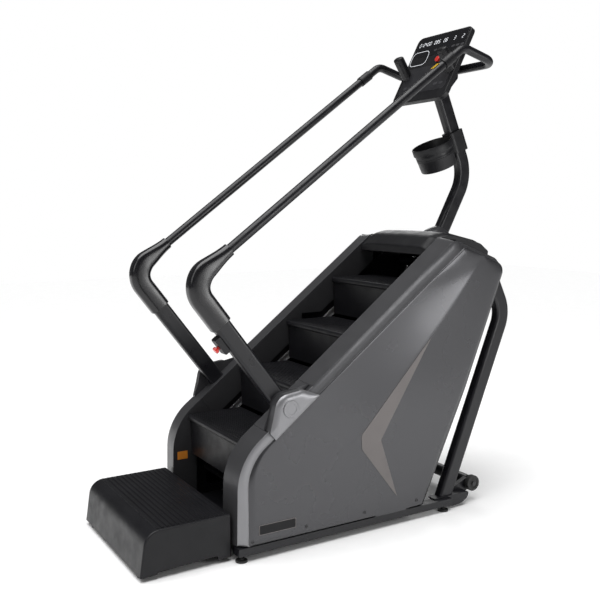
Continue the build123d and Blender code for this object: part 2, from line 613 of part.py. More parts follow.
def console_front():
    plate = extrude(on_face(0, FACE_LEN / 2, CONSOLE_FRONT_T, RectangleRounded(2 * FACE_HALF, FACE_LEN, 34)),
                    amount=CONSOLE_FRONT_T, dir=FACE.z_dir)
    plate = fillet(plate.edges().filter_by(lambda e: abs(FACE.to_local_coords(e.center()).Z) < 0.1), 5)
    hollow = RectangleRounded(2 * FACE_HALF - 8, FACE_LEN - 8, 30)
    recess = RectangleRounded(WINDOW_W, WINDOW_H, 16)
    plate -= extrude(on_face(0, FACE_LEN / 2, CONSOLE_FRONT_T, hollow), amount=CONSOLE_FRONT_T - 5,
                     dir=FACE.z_dir)
    plate -= extrude(on_face(0, WINDOW_V, 2.2, recess), amount=5, dir=FACE.z_dir)
    plate -= extrude(on_face(*STOP_UV, 10, Circle(STOP_R - 4.7)), amount=20, dir=FACE.z_dir)
    return plate


def console_window():
    return extrude(on_face(0, WINDOW_V, 2.2, RectangleRounded(WINDOW_W - 1, WINDOW_H - 1, 15.5)), amount=2.6,
                   dir=FACE.z_dir)


def console_back():
    """Rear half of the console, tapering towards the mast."""
    back_at, front_at = CONSOLE_FRONT_T + CONSOLE_BACK_T, CONSOLE_FRONT_T
    middle = FACE_LEN / 2

    def box(trim, v, depth, r):
        return on_face(0, v, depth, RectangleRounded(2 * FACE_HALF - trim, FACE_LEN - trim, r))

    body = loft([box(90, middle - 6, back_at, 30), box(0, middle, front_at, 34)], ruled=True)
    return body - loft([box(98, middle - 6, back_at - 4, 26), box(8, middle, front_at - 0.1, 30)], ruled=True)


def console_stop():
    stem = extrude(on_face(*STOP_UV, 8, Circle(STOP_R - 5)), amount=10.5, dir=FACE.z_dir)
    head = extrude(on_face(*STOP_UV, -5.4, Circle(STOP_R)), amount=8, dir=FACE.z_dir)
    head = fillet(head.edges().filter_by(GeomType.CIRCLE), 3)
    return stem + extrude(on_face(*STOP_UV, -2, Circle(STOP_R - 5)), amount=4, dir=FACE.z_dir) + head


def console_bracket():
    """Steel bracket that ties mast, console and bar together."""
    ends = [shift(FACE_LOW, FACE_UP, d) for d in (130, 250)]
    back = [shift(e, (FACE_UP[1], -FACE_UP[0]), CONSOLE_FRONT_T + CONSOLE_BACK_T) for e in ends]
    body = slab([back[0], back[1], (BAR_Y - 20, BAR_Z + 40), (BAR_Y + 32, BAR_Z + 30),
                 (BAR_Y + 32, BAR_Z - 32), (1378, 2010)], -36, 36, [0, 0, 12, 16, 16, 6])
    body -= rod(BAR_Y, BAR_Z, RAIL_R + 0.2, -40, 40)
    keep_off = bent([MAST_PATH[1], shift(MAST_PATH[2], MAST_UP, 0)], 0, oval(0.2), 0)
    return body - keep_off


GRIP_X, GRIP_FOOT, GRIP_TIP = 165.0, (1282.0, 2068.0), (1208.0, 2178.0)


def grip_parts():
    """Pulse grips on the console's face, each a rounded handle with a metal plate let into its front."""
    along = unit(GRIP_FOOT, GRIP_TIP)
    grip = bent([GRIP_FOOT, GRIP_TIP], GRIP_X, RectangleRounded(58, 42, 19), 0)
    grip = fillet(grip.edges().filter_by(lambda e: e.center().Z > GRIP_TIP[1] - 24 and e.length > 12), 12)
    face_cut = extrude(on_face(0, FACE_LEN / 2, 60, Rectangle(600, 600)), amount=60.1, dir=FACE.z_dir)
    grip -= face_cut
    out = (-along[1], along[0])
    p, q = shift(GRIP_FOOT, along, 52), shift(GRIP_FOOT, along, 112)
    plate = slab([shift(p, out, 18), shift(q, out, 18), shift(q, out, 22.4), shift(p, out, 22.4)],
                 GRIP_X - 14, GRIP_X + 14)
    return grip - plate, plate


# ---- staircase -----------------------------------------------------------------------------------
SHAFT_R = 15.0
STEP_HALF = 260.0
END_PLATE_T = 3.0
TREAD_T, RISER_T, RISER_SET = 28.0, 8.0, 15.0
TREAD_TAIL = RUN + RISER_SET - 4.0
RISER_DROP = 190.0
SHOE_R, SHOE_X = 9.0, 270.4
TREAD_RIB, TREAD_RIB_H = 16.0, 2.0


def step_solids():
    """One step at the origin: nose at (0, 0), tread running back, riser hanging down."""
    top = -TREAD_RIB_H
    tread = slab([(0, top), (TREAD_TAIL, top), (TREAD_TAIL, -12), (TREAD_TAIL - 60, -TREAD_T), (0, -TREAD_T)],
                 -STEP_HALF, STEP_HALF, [11, 2, 2, 10, 8])
    for i in range(int((TREAD_TAIL - 26) / TREAD_RIB)):
        y = 16 + i * TREAD_RIB
        tread += block(-STEP_HALF + 6, STEP_HALF - 6, y, y + 9, top - 0.5, 0)
    riser = block(-STEP_HALF, STEP_HALF, RISER_SET, RISER_SET + RISER_T, -RISER_DROP, -TREAD_T)
    solids = [tread, riser]
    triangle = [(10, -6), (TREAD_TAIL - 3, -6), (TREAD_TAIL - 3, -18), (RISER_SET + 14, -RISER_DROP + 2),
                (RISER_SET + 1, -RISER_DROP + 2)]
    chain_foot = (-NOSE_HEIGHT * ABOVE[0], -NOSE_HEIGHT * ABOVE[1])
    for side in (-1, 1):
        x0, x1 = sorted((side * STEP_HALF, side * (STEP_HALF + END_PLATE_T)))
        plate = slab(triangle, x0, x1, [4, 2, 2, 6, 2])
        for d in (-16, 16):
            centre = shift(chain_foot, ALONG, d)
            plate += rod(*centre, SHOE_R, side * STEP_HALF, side * SHOE_X)
        solids.append(plate)
    return solids


def loop_point(u):
    """Point and turn angle at distance u along the chain loop, from the top of the front run downwards."""
    u = u % (STEP_COUNT * PITCH)
    if u <= RUN_LENGTH:
        return shift(shift(UPPER, ABOVE, SPROCKET_R), ALONG, -u), 0.0
    if u <= RUN_LENGTH + TRAVEL:
        turn, centre = (u - RUN_LENGTH) / SPROCKET_R, LOWER
    elif u <= 2 * RUN_LENGTH + TRAVEL:
        return shift(shift(LOWER, ABOVE, -SPROCKET_R), ALONG, u - RUN_LENGTH - TRAVEL), pi
    else:
        turn, centre = pi + (u - 2 * RUN_LENGTH - TRAVEL) / SPROCKET_R, UPPER
    out = (ABOVE[0] * cos(turn) - ABOVE[1] * sin(turn), ABOVE[0] * sin(turn) + ABOVE[1] * cos(turn))
    return shift(centre, out, SPROCKET_R), turn


def placed_step(index, solids):
    """Step 0 is the lowest of the front run; the next ones follow up the stairs and back down behind."""
    point, turn = loop_point(RUN_LENGTH - index * PITCH)
    local = (-NOSE_HEIGHT * ABOVE[0], -NOSE_HEIGHT * ABOVE[1])
    move = Pos(0, *point) * Rot(degrees(turn), 0, 0) * Pos(0, -local[0], -local[1])
    return [move * s for s in solids]


def chain():
    """One closed loop: two side bands and the rollers between them."""
    def stadium(r, x0, x1):
        ends = [shift(p, ABOVE, d) for p, d in ((LOWER, r), (UPPER, r), (UPPER, -r), (LOWER, -r))]
        return slab(ends, x0, x1) + rod(*LOWER, r, x0, x1) + rod(*UPPER, r, x0, x1)

    solids = []
    for x0, x1 in ((271.0, 273.0), (281.0, 283.0)):
        solids.append(stadium(SPROCKET_R + 9, x0, x1) - stadium(SPROCKET_R - 9, x0 - 1, x1 + 1))
    links = round(STEP_COUNT * PITCH / LINK)
    for i in range(links):
        point, _ = loop_point(i * STEP_COUNT * PITCH / links)
        solids.append(rod(*point, ROLLER_R, 273.0, 281.0))
    return solids


def guide_rails():
    """Steel strips under the glide shoes of both runs, bolted to the side plate."""
    rails = []
    for centre_line in (SPROCKET_R, -SPROCKET_R):
        ends = [shift(LOWER, ALONG, 60), shift(UPPER, ALONG, -60)]
        a, b = [shift(e, ABOVE, centre_line - SHOE_R - 3.2) for e in ends]
        strip = [a, b, shift(b, ABOVE, -6), shift(a, ABOVE, -6)]
        rails.append(slab(strip, STEP_HALF + END_PLATE_T + 1, SIDE_PLATE_X))
    return rails


TIP_R, ROOT_R = SPROCKET_R - ROLLER_R - 0.5, SPROCKET_R - ROLLER_R - 6.5


def sprocket(yz):
    body = rod(*yz, ROOT_R, 274, 280) + rod(*yz, 26, 266, 274)
    for i in range(TEETH):
        a, b = 2 * pi * i / TEETH, pi / TEETH
        tooth = [(yz[0] + r * cos(a + k), yz[1] + r * sin(a + k)) for r, k in
                 ((ROOT_R - 3, -b * 0.8), (ROOT_R - 3, b * 0.8), (TIP_R, b * 0.3), (TIP_R, -b * 0.3))]
        body += slab(tooth, 274, 280)
    return body


def shaft_set(yz, right_end):
    """Shaft with a sprocket at each end, one solid."""
    left_end = SIDE_PLATE_X + SIDE_PLATE_T + 26
    body = rod(*yz, SHAFT_R, -left_end, right_end)
    for s in both(sprocket(yz)):
        body += s
    return body


# ---- drive ---------------------------------------------------------------------------------------
PULLEY_X0, PULLEY_X1 = 328.0, 352.0
PULLEY_R, SMALL_PULLEY_R = 130.0, 35.0
BRAKE, BRAKE_R = (846.0, 195.0), 70.0
BELT_T, BELT_GAP = 4.0, 0.4


def drive_pulley():
    body = rod(*UPPER, PULLEY_R, PULLEY_X0, PULLEY_X1)
    for x0, x1 in ((PULLEY_X0 - 1, PULLEY_X0 + 8), (PULLEY_X1 - 8, PULLEY_X1 + 1)):
        body -= rod(*UPPER, PULLEY_R - 14, x0, x1) - rod(*UPPER, 34, x0 - 1, x1 + 1)
    for i in range(5):
        a = 2 * pi * i / 5
        body -= rod(UPPER[0] + 75 * cos(a), UPPER[1] + 75 * sin(a), 24, PULLEY_X0 - 1, PULLEY_X1 + 1)
    return body - rod(*UPPER, SHAFT_R, PULLEY_X0 - 1, PULLEY_X1 + 1)


def belt():
    """Flat ribbed belt round both pulleys, 0.4 mm clear of them."""
    to = unit(BRAKE, UPPER)
    lean = asin((PULLEY_R - SMALL_PULLEY_R) / hypot(UPPER[0] - BRAKE[0], UPPER[1] - BRAKE[1]))

    def wrapped(grow, x0, x1):
        corners = []
        for side in (1, -1):
            a = atan2(to[1], to[0]) + side * (pi / 2 + lean)
            out = (cos(a), sin(a))
            pair = [shift(BRAKE, out, SMALL_PULLEY_R + grow), shift(UPPER, out, PULLEY_R + grow)]
            corners += pair if side == 1 else pair[::-1]
        ends = rod(*BRAKE, SMALL_PULLEY_R + grow, x0, x1) + rod(*UPPER, PULLEY_R + grow, x0, x1)
        return slab(corners, x0, x1) + ends

    x0, x1 = PULLEY_X0 + 2, PULLEY_X1 - 2
    return wrapped(BELT_GAP + BELT_T, x0, x1) - wrapped(BELT_GAP, x0 - 1, x1 + 1)


def alternator():
    """Brake generator on a foot bracket that stands on the rear cross tube's plate."""
    body = rod(*BRAKE, BRAKE_R, 200, 318)
    body = fillet(body.edges().filter_by(GeomType.CIRCLE), 8)
    body += block(205, 284, BRAKE[0] - 50, BRAKE[0] + 50, 66, BRAKE[1] - 60)
    body += block(190, 284, BRAKE[0] - 90, CROSS_TUBE_YS[1] + 50, BASE_Z1 + 0.5, 68)
    return body - rod(*BRAKE, 10.05, 300, 330)


def brake_pulley():
    return rod(*BRAKE, SMALL_PULLEY_R, PULLEY_X0, PULLEY_X1) + rod(*BRAKE, 10, 302, PULLEY_X0 + 1)


# ---- fasteners -----------------------------------------------------------------------------------
def button_head(y, z, x, r=7.0, h=3.0):
    head = rod(y, z, r, x, x + h)
    head = fillet(head.edges().filter_by(lambda e: e.center().X > x + h - 0.1), 1.5)
    return head - rod(y, z, r * 0.4, x + h - 1.5, x + h + 1)


def fasteners():
    """Panel screws, handrail pivot bolts and wheel axles."""
    solids = []
    for y, z in ((61, 82), (318, 96), (620, 96), (913, 95)):
        solids += both(button_head(y, z, PANEL_X))
    pivot = rod(*PIVOT, 8, SIDE_PLATE_X - 1, 345.2) + rod(*PIVOT, 13, 345.1, 347.4)
    axle = rod(*WHEEL_YZ, AXLE_R, 318, 361) + rod(*WHEEL_YZ, 11, 360.4, 365)
    return solids + both(pivot) + both(axle)


# ---- write every node ----------------------------------------------------------------------------
write("base_rails", *both(base_rail()))
write("cross_tubes", *cross_tubes(), mast_tube())
write("side_plates", *both(side_plate()))
write("shaft_bearings", *[b for yz in (LOWER, UPPER) for b in both(bearing(yz))])
write("rear_legs", *both(rear_leg()))
write("rear_carrier", *both(rear_bracket()), rear_tube())
write_pair("transport_wheel", wheel())
for end, foot_y in zip(("front", "rear"), FOOT_YS):
    write_pair(f"levelling_foot_{end}", foot(FOOT_X, foot_y))

write("platform_shell", platform_shell())
write("platform_frame", platform_frame(), *platform_pads())
write("well_panel", well_panel())

full_rim = rim()
room = hub_cutter()
write_pair("side_panel", side_panel() - room)
write_pair("lower_rim", full_rim & along_rim(HUB_FROM - CLEAR / 2, -1))
write_pair("upper_rim", full_rim & along_rim(HUB_TO + CLEAR / 2, 1))
write_pair("hub_trim", hub_trim(full_rim))
write("hub_caps", *both(hub_cap()))
write("side_trims", *both(accent_strip()), *both(badge_plate()))
write("hood", hood())
write("rear_cover", rear_cover())

write_pair("lower_tube", lower_tube())
write_pair("upper_rail", upper_rail())
write_pair("elbow_cover", elbow_cover())
write("rail_collars", *both(rail_collar()))
write("console_bar", console_bar())
write("stop_box", stop_box())
write("stop_knob", stop_knob())

write("mast", mast())
write("mast_collar", mast_collar())
write("cup_holder", cup_holder())
write("cup_clamp", cup_clamp())
write("console_front", console_front())
write("console_window", console_window())
write("console_back", console_back())
write("console_stop_button", console_stop())
write("console_bracket", console_bracket())
right_grip, right_plate = grip_parts()
write("pulse_grips", *both(right_grip), *both(right_plate))

step = step_solids()
write("front_steps", *[s for i in (1, 2, 3) for s in placed_step(i, step)])
write("lower_step", *placed_step(0, step))
write("upper_step", *placed_step(4, step))
write("return_steps", *[s for i in (5, 6, 7) for s in placed_step(i, step)])
write("step_chains", *[s for c in chain() for s in both(c)])
write("guide_rails", *[s for r in guide_rails() for s in both(r)])
write("lower_shaft", shaft_set(LOWER, SIDE_PLATE_X + SIDE_PLATE_T + 26))
write("upper_shaft", shaft_set(UPPER, PULLEY_X1 + 4))
write("drive_pulley", drive_pulley())
write("drive_belt", belt())
write("alternator", alternator())
write("alternator_pulley", brake_pulley())
write("fasteners", *fasteners())
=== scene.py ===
import json
import math

import bmesh
import bpy
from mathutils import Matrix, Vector


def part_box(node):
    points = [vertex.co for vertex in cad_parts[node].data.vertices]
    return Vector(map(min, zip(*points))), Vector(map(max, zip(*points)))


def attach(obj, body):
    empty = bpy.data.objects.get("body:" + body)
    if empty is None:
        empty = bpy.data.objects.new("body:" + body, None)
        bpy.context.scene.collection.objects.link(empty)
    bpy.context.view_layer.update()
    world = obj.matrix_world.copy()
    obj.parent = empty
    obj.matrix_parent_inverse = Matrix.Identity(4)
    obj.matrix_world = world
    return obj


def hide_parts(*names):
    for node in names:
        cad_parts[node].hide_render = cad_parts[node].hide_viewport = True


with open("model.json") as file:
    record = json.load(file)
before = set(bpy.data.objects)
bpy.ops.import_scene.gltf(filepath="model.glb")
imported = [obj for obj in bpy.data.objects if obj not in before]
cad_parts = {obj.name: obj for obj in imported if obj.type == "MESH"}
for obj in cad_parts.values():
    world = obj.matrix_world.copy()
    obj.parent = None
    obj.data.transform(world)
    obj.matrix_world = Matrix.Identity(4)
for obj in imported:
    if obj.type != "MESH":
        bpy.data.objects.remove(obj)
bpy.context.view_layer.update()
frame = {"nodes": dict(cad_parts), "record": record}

# Stair climber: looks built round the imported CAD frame. Metres, +Z up, +Y the way the user faces.
NODES = frame["nodes"]
SIDES = {"right": 1, "left": -1}


# ---- driving dimensions, read from the frame -----------------------------------------------------------
PANEL_LOW, PANEL_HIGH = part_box("side_panel_right")
PANEL_X, CREASE_X = PANEL_HIGH.x, 0.372
HUB_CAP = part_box("hub_caps")
HUB = ((HUB_CAP[0].y + HUB_CAP[1].y) / 2, (HUB_CAP[0].z + HUB_CAP[1].z) / 2)
FRONT = HUB[0] - 0.243          # the body's front plane, which the outlines are measured from
RAIL_X = 0.320


# ---- small vector helpers in the side view (y, z) ------------------------------------------------------
def v2(y, z):
    """A point of the side view, given from the body's front plane in millimetres."""
    return Vector((FRONT + y / 1000, z / 1000))


def unit(a, b):
    return (b - a).normalized()


def meet(p, d, q, e):
    """Where the line through p along d crosses the line through q along e."""
    det = d.x * e.y - d.y * e.x
    s = ((q.x - p.x) * e.y - (q.y - p.y) * e.x) / det
    return p + d * s


def rounded(points, radii, steps=10):
    """Closed outline with each corner replaced by an arc."""
    line = []
    for i, (p, r) in enumerate(zip(points, radii)):
        u, v = unit(p, points[i - 1]), unit(p, points[(i + 1) % len(points)])
        if r == 0:
            line.append(p)
            continue
        half = u.angle(v) / 2
        centre = p + (u + v).normalized() * (r / math.sin(half))
        start = p + u * (r / math.tan(half))
        turn = (start - centre).angle_signed(p + v * (r / math.tan(half)) - centre)
        for k in range(steps + 1):
            a = -turn * k / steps
            w = start - centre
            line.append(centre + Vector((w.x * math.cos(a) - w.y * math.sin(a),
                                         w.x * math.sin(a) + w.y * math.cos(a))))
    return line


def resample(line, count):
    """The open line as count points, evenly spaced along it."""
    lengths = [0.0]
    for a, b in zip(line, line[1:]):
        lengths.append(lengths[-1] + (b - a).length)
    out, k = [], 0
    for i in range(count):
        at = lengths[-1] * i / (count - 1)
        while k < len(line) - 2 and lengths[k + 1] < at:
            k += 1
        span = max(lengths[k + 1] - lengths[k], 1e-9)
        out.append(line[k].lerp(line[k + 1], min(max((at - lengths[k]) / span, 0), 1)))
    return out


def smoothstep(a, b, x):
    t = min(max((x - a) / (b - a), 0), 1)
    return t * t * (3 - 2 * t)


# ---- materials -----------------------------------------------------------------------------------------
def finish(name, color, rough, metallic=0.0, coat=0.0, mottle=0.10, mottle_scale=6.0, grain=0.12,
           grain_scale=900.0, rough_spread=0.08, wear=0.0, edge=0.0012, stretch=(1, 1, 1), specular=0.5):
    """Procedural surface: uneven colour, fine grain in the bump, uneven roughness and paler rubbed edges."""
    mat = bpy.data.materials.new(name)
    mat.use_nodes = True
    nodes, links = mat.node_tree.nodes, mat.node_tree.links
    shader = nodes["Principled BSDF"]
    shader.inputs["Metallic"].default_value = metallic
    shader.inputs["Coat Weight"].default_value = coat
    shader.inputs["Coat Roughness"].default_value = 0.12
    shader.inputs["Specular IOR Level"].default_value = specular
    coords = nodes.new("ShaderNodeTexCoord")
    place = nodes.new("ShaderNodeMapping")
    place.inputs["Scale"].default_value = stretch
    links.new(coords.outputs["Object"], place.inputs["Vector"])

    def noise(scale, detail):
        n = nodes.new("ShaderNodeTexNoise")
        n.inputs["Scale"].default_value = scale
        n.inputs["Detail"].default_value = detail
        links.new(place.outputs["Vector"], n.inputs["Vector"])
        return n.outputs["Fac"]

    def ranged(value, low, high, out_low, out_high):
        n = nodes.new("ShaderNodeMapRange")
        sockets = ("From Min", "From Max", "To Min", "To Max")
        for socket, number in zip(sockets, (low, high, out_low, out_high)):
            n.inputs[socket].default_value = number
        links.new(value, n.inputs["Value"])
        return n.outputs["Result"]

    def blend(factor, a, b):
        n = nodes.new("ShaderNodeMixRGB")
        links.new(factor, n.inputs["Fac"])
        for socket, value in ((n.inputs["Color1"], a), (n.inputs["Color2"], b)):
            if isinstance(value, bpy.types.NodeSocket):
                links.new(value, socket)
            else:
                socket.default_value = (*value, 1)
        return n.outputs["Color"]

    broad, fine = noise(mottle_scale, 5), noise(grain_scale, 3)
    darker = [c * (1 - mottle) for c in color]
    lighter = [c * (1 + mottle) for c in color]
    surface = blend(ranged(broad, 0.3, 0.7, 0, 1), darker, lighter)
    round_edge = nodes.new("ShaderNodeBevel")
    round_edge.samples = 4
    round_edge.inputs["Radius"].default_value = edge
    bump = nodes.new("ShaderNodeBump")
    bump.inputs["Strength"].default_value = grain
    bump.inputs["Distance"].default_value = 0.0006
    links.new(fine, bump.inputs["Height"])
    links.new(round_edge.outputs["Normal"], bump.inputs["Normal"])
    links.new(bump.outputs["Normal"], shader.inputs["Normal"])
    if wear:
        flat = nodes.new("ShaderNodeNewGeometry")
        dot = nodes.new("ShaderNodeVectorMath")
        dot.operation = "DOT_PRODUCT"
        links.new(round_edge.outputs["Normal"], dot.inputs[0])
        links.new(flat.outputs["Normal"], dot.inputs[1])
        rub = nodes.new("ShaderNodeMath")
        rub.operation = "MULTIPLY"
        links.new(ranged(dot.outputs["Value"], 0.97, 0.78, 0, wear), rub.inputs[0])
        links.new(ranged(noise(38.0, 4), 0.35, 0.65, 0.2, 1), rub.inputs[1])
        surface = blend(rub.outputs["Value"], surface, [min(c * 2.2 + 0.05, 1) for c in color])
    links.new(surface, shader.inputs["Base Color"])
    smoothest, roughest = max(rough - rough_spread, 0.03), rough + rough_spread
    links.new(ranged(noise(mottle_scale * 3, 4), 0.3, 0.7, smoothest, roughest), shader.inputs["Roughness"])
    return mat


def glow(name, color, strength):
    """Lit display segment."""
    mat = bpy.data.materials.new(name)
    mat.use_nodes = True
    nodes, links = mat.node_tree.nodes, mat.node_tree.links
    shader = nodes["Principled BSDF"]
    shader.inputs["Emission Strength"].default_value = strength
    shader.inputs["Roughness"].default_value = 0.3
    coords, cell = nodes.new("ShaderNodeTexCoord"), nodes.new("ShaderNodeTexNoise")
    cell.inputs["Scale"].default_value = 400
    ramp = nodes.new("ShaderNodeValToRGB")
    ramp.color_ramp.elements[0].color = (*[c * 0.8 for c in color], 1)
    ramp.color_ramp.elements[1].color = (*color, 1)
    links.new(coords.outputs["Object"], cell.inputs["Vector"])
    links.new(cell.outputs["Fac"], ramp.inputs["Fac"])
    links.new(ramp.outputs["Color"], shader.inputs["Base Color"])
    links.new(ramp.outputs["Color"], shader.inputs["Emission Color"])
    return mat


PAINTS = {
    "frame_paint": dict(color=(0.007, 0.007, 0.009), rough=0.34, grain=0.08, grain_scale=700, edge=0.0006,
                        specular=0.4),
    "cast_iron": dict(color=(0.06, 0.06, 0.062), rough=0.5, metallic=0.8, grain=0.3, grain_scale=350),
    "bright_steel": dict(color=(0.55, 0.55, 0.56), rough=0.3, metallic=1.0, stretch=(40, 1, 1), grain=0.15),
    "alternator_case": dict(color=(0.4, 0.4, 0.41), rough=0.45, metallic=0.9, grain=0.3, grain_scale=300),
    "tread_plastic": dict(color=(0.007, 0.007, 0.0085), rough=0.38, grain=0.3, grain_scale=1100, wear=0.12,
                          mottle=0.15, specular=0.28),
    "panel_grey": dict(color=(0.066, 0.066, 0.070), rough=0.27, metallic=0.65, coat=0.15, grain=0.02,
                       grain_scale=1600, mottle=0.015, mottle_scale=1.5, rough_spread=0.010),
    "rim_grey": dict(color=(0.060, 0.060, 0.064), rough=0.38, metallic=0.45, coat=0.1, grain=0.05,
                     grain_scale=1600, mottle=0.04, rough_spread=0.04, wear=0.1),
    # silver_trim: the hub lobes' own silver paint, also laid on the covers' lower front bevels as a painted
    # highlight
    "silver_trim": dict(color=(0.23, 0.23, 0.24), rough=0.36, metallic=0.55, coat=0.15, grain=0.05,
                        grain_scale=1500, mottle=0.03, rough_spread=0.04, wear=0.08),
    "strip_bronze": dict(color=(0.135, 0.124, 0.121), rough=0.38, metallic=0.4, grain=0.06, grain_scale=1500,
                         mottle=0.05),
    "black_shell": dict(color=(0.007, 0.007, 0.0085), rough=0.46, grain=0.15, grain_scale=1300, wear=0.05,
                        specular=0.35),
    "gloss_shell": dict(color=(0.006, 0.006, 0.0075), rough=0.24, coat=0.15, grain=0.03, grain_scale=900,
                        rough_spread=0.05, edge=0.0006),
    "display": dict(color=(0.003, 0.003, 0.005), rough=0.08, coat=0.6, grain=0.0, mottle=0.2,
                    rough_spread=0.04),
    "red_button": dict(color=(0.62, 0.030, 0.022), rough=0.28, coat=0.4, grain=0.05, mottle=0.06, wear=0.1),
    "belt_rubber": dict(color=(0.016, 0.016, 0.016), rough=0.62, grain=0.4, grain_scale=600, wear=0.1),
    "badge": dict(color=(0.006, 0.006, 0.007), rough=0.45, grain=0.04, specular=0.25),
    "label_orange": dict(color=(0.75, 0.26, 0.03), rough=0.5, grain=0.1, mottle=0.05),
    "label_yellow": dict(color=(0.80, 0.55, 0.02), rough=0.5, grain=0.1, mottle=0.05),
    "key_grey": dict(color=(0.045, 0.045, 0.05), rough=0.4, grain=0.1),
    "inlay": dict(color=(0.018, 0.018, 0.021), rough=0.42, grain=0.2, grain_scale=1500),
}
MATERIALS = {name: finish(name, **look) for name, look in PAINTS.items()}
MATERIALS["digit_glow"] = glow("digit_glow", (0.75, 0.77, 0.80), 0.7)


def paint(obj, material):
    obj.data.materials.clear()
    obj.data.materials.append(MATERIALS[material])


for part in frame["record"]["subparts"]:
    paint(NODES[part["node"]], part["material_slot"])


paint(NODES["fasteners"], "cast_iron")


# ---- mesh helpers --------------------------------------------------------------------------------------
def make(name, verts, faces, material, body, slot=None, sharp=35.0):
    """New piece from vertices and faces: painted, smooth shaded with sharp creases, riding on its body."""
    mesh = bpy.data.meshes.new(name)
    mesh.from_pydata([tuple(v) for v in verts], [], faces)
    bm = bmesh.new()
    bm.from_mesh(mesh)
    bmesh.ops.remove_doubles(bm, verts=bm.verts, dist=1e-5)
    bmesh.ops.recalc_face_normals(bm, faces=bm.faces)
    bm.to_mesh(mesh)
    bm.free()
    mesh.shade_smooth()
    mesh.set_sharp_from_angle(angle=math.radians(sharp))
    obj = bpy.data.objects.new(name, mesh)
    bpy.context.scene.collection.objects.link(obj)
    paint(obj, material)
    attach(obj, body)
    return obj


def grid_faces(rows, columns, wrap):
    """Quads between rows of columns points; wrap closes each row on itself."""
    faces = []
    for i in range(rows - 1):
        for j in range(columns if wrap else columns - 1):
            k = (j + 1) % columns
            faces.append((i * columns + j, i * columns + k, (i + 1) * columns + k, (i + 1) * columns + j))
    return faces


def loft(name, rings, material, body, slot=None, caps=True, closed=False, sharp=35.0):
    """Skin over rings of points. closed joins the last ring to the first."""
    count = len(rings[0])
    verts = [p for ring in rings for p in ring]
    faces = grid_faces(len(rings), count, True)
    if closed:
        base = (len(rings) - 1) * count
        faces += [(base + j, base + (j + 1) % count, (j + 1) % count, j) for j in range(count)]
    elif caps:
        faces += [tuple(range(count)), tuple(range((len(rings) - 1) * count, len(rings) * count))]
    return make(name, verts, faces, material, body, slot, sharp)


def thicken(obj, thickness):
    """Give an open skin its wall, inwards."""
    solid = obj.modifiers.new("wall", "SOLIDIFY")
    solid.thickness = thickness
    solid.offset = -1
    return obj


def soften(obj, width, segments=3):
    bevel = obj.modifiers.new("edge", "BEVEL")
    bevel.width = width
    bevel.segments = segments
    bevel.limit_method = "ANGLE"
    bevel.harden_normals = False
    return obj


def slab(name, outline, x0, x1, material, body, slot=None, edge=0.0):
    """(y, z) outline with thickness along X."""
    rings = [[Vector((x, p.x, p.y)) for p in outline] for x in (x0, x1)]
    obj = loft(name, rings, material, body, slot)
    return soften(obj, edge) if edge else obj


# ---- side covers ---------------------------------------------------------------------------------------
RIM_ANGLE = math.radians(37.7)
RIM_DIR = Vector((math.cos(RIM_ANGLE), math.sin(RIM_ANGLE)))
RIM_OUT = Vector((-RIM_DIR.y, RIM_DIR.x))
SLOPE_START = v2(0, 421.7)                  # where the slope's edge would meet the front plane
CREASE_INSET, BEVEL_INSET, TOP_INSET = 0.013, 0.050, 0.026
BEVEL_TURN = math.radians(0.82)             # the bevel widens this much up the slope
PANEL_BOTTOM = PANEL_LOW.z
# left edge of the accent strip, top to bottom
STRIP = [(981, 848), (598, 448), (600, 386), (797, 136)]
CREASE_TOP, CREASE_FOOT = (1294, 1205), (854, 66)
SCOOP, ROLL = 0.012, 0.005                  # depth of the front scoop and of the rear roll-off
FLANGE_X, FLANGE_TOP = 0.320, 1.1           # the rear edge turns in to this x, below this height
COVER_WALL, SLOPE_AT = 0.0028, 0.441
PANEL_COUNT, PANEL_ROWS = 170, 18


def cover_corners(inset, top_inset, turn):
    """Corner points and radii of the side cover, its front, slope and top edges moved in."""
    floor, along = Vector((0, PANEL_BOTTOM)), Vector((1, 0))
    front = (v2(-9, 0) + Vector((inset, 0)), Vector((0.018, 1)).normalized())
    slope_dir = Vector((math.cos(RIM_ANGLE - turn), math.sin(RIM_ANGLE - turn)))
    slope = (SLOPE_START + RIM_DIR * SLOPE_AT - RIM_OUT * inset, slope_dir)
    top_dir = Vector((1, -0.378)).normalized()
    top = (v2(0, 1722) - Vector((-top_dir.y, top_dir.x)) * top_inset, top_dir)
    knee, high, foot = v2(1196, 582), v2(1398, 1071), v2(952, 66)
    back, low = (high, unit(knee, high)), (foot, unit(foot, knee))
    points = [meet(*front, floor, along), meet(*front, *slope), meet(*slope, *top), meet(*top, *back),
              meet(*back, *low), meet(*low, floor, along)]
    return points, [0, 0.265 - inset, 0.014, 0.07 - top_inset, 1.2, 0]


def cover_line(inset, top_inset, turn=0.0):
    line = rounded(*cover_corners(inset, top_inset, turn), steps=24)
    return resample(line + line[:1], 1200)


def nearest(line, point):
    return min(range(len(line)), key=lambda i: (line[i] - point).length)


def compact(verts, faces):
    """Only the points that the faces use, and the faces renumbered."""
    used = sorted({i for face in faces for i in face})
    index = {old: new for new, old in enumerate(used)}
    return [verts[i] for i in used], [tuple(index[i] for i in face) for face in faces]


def stretch(line, start, end):
    """Points of the closed line from start to end, walking forwards."""
    a, b = nearest(line, start), nearest(line, end)
    run = line[a:b + 1] if a < b else line[a:] + line[:b + 1]
    return resample(run, PANEL_COUNT)


def cover_depth(zone, s, height):
    """How far the surface lies inside the widest plane, s of the way from the bevel to the crease."""
    roll = ROLL * (1 - s) ** 9
    if zone == "rear":
        return roll
    scoop = SCOOP * smoothstep(0.12, 0.45, height) * (1 - s ** 2.4)
    top = smoothstep(1.06, 1.20, height)
    return scoop * (1 - top) + roll * top


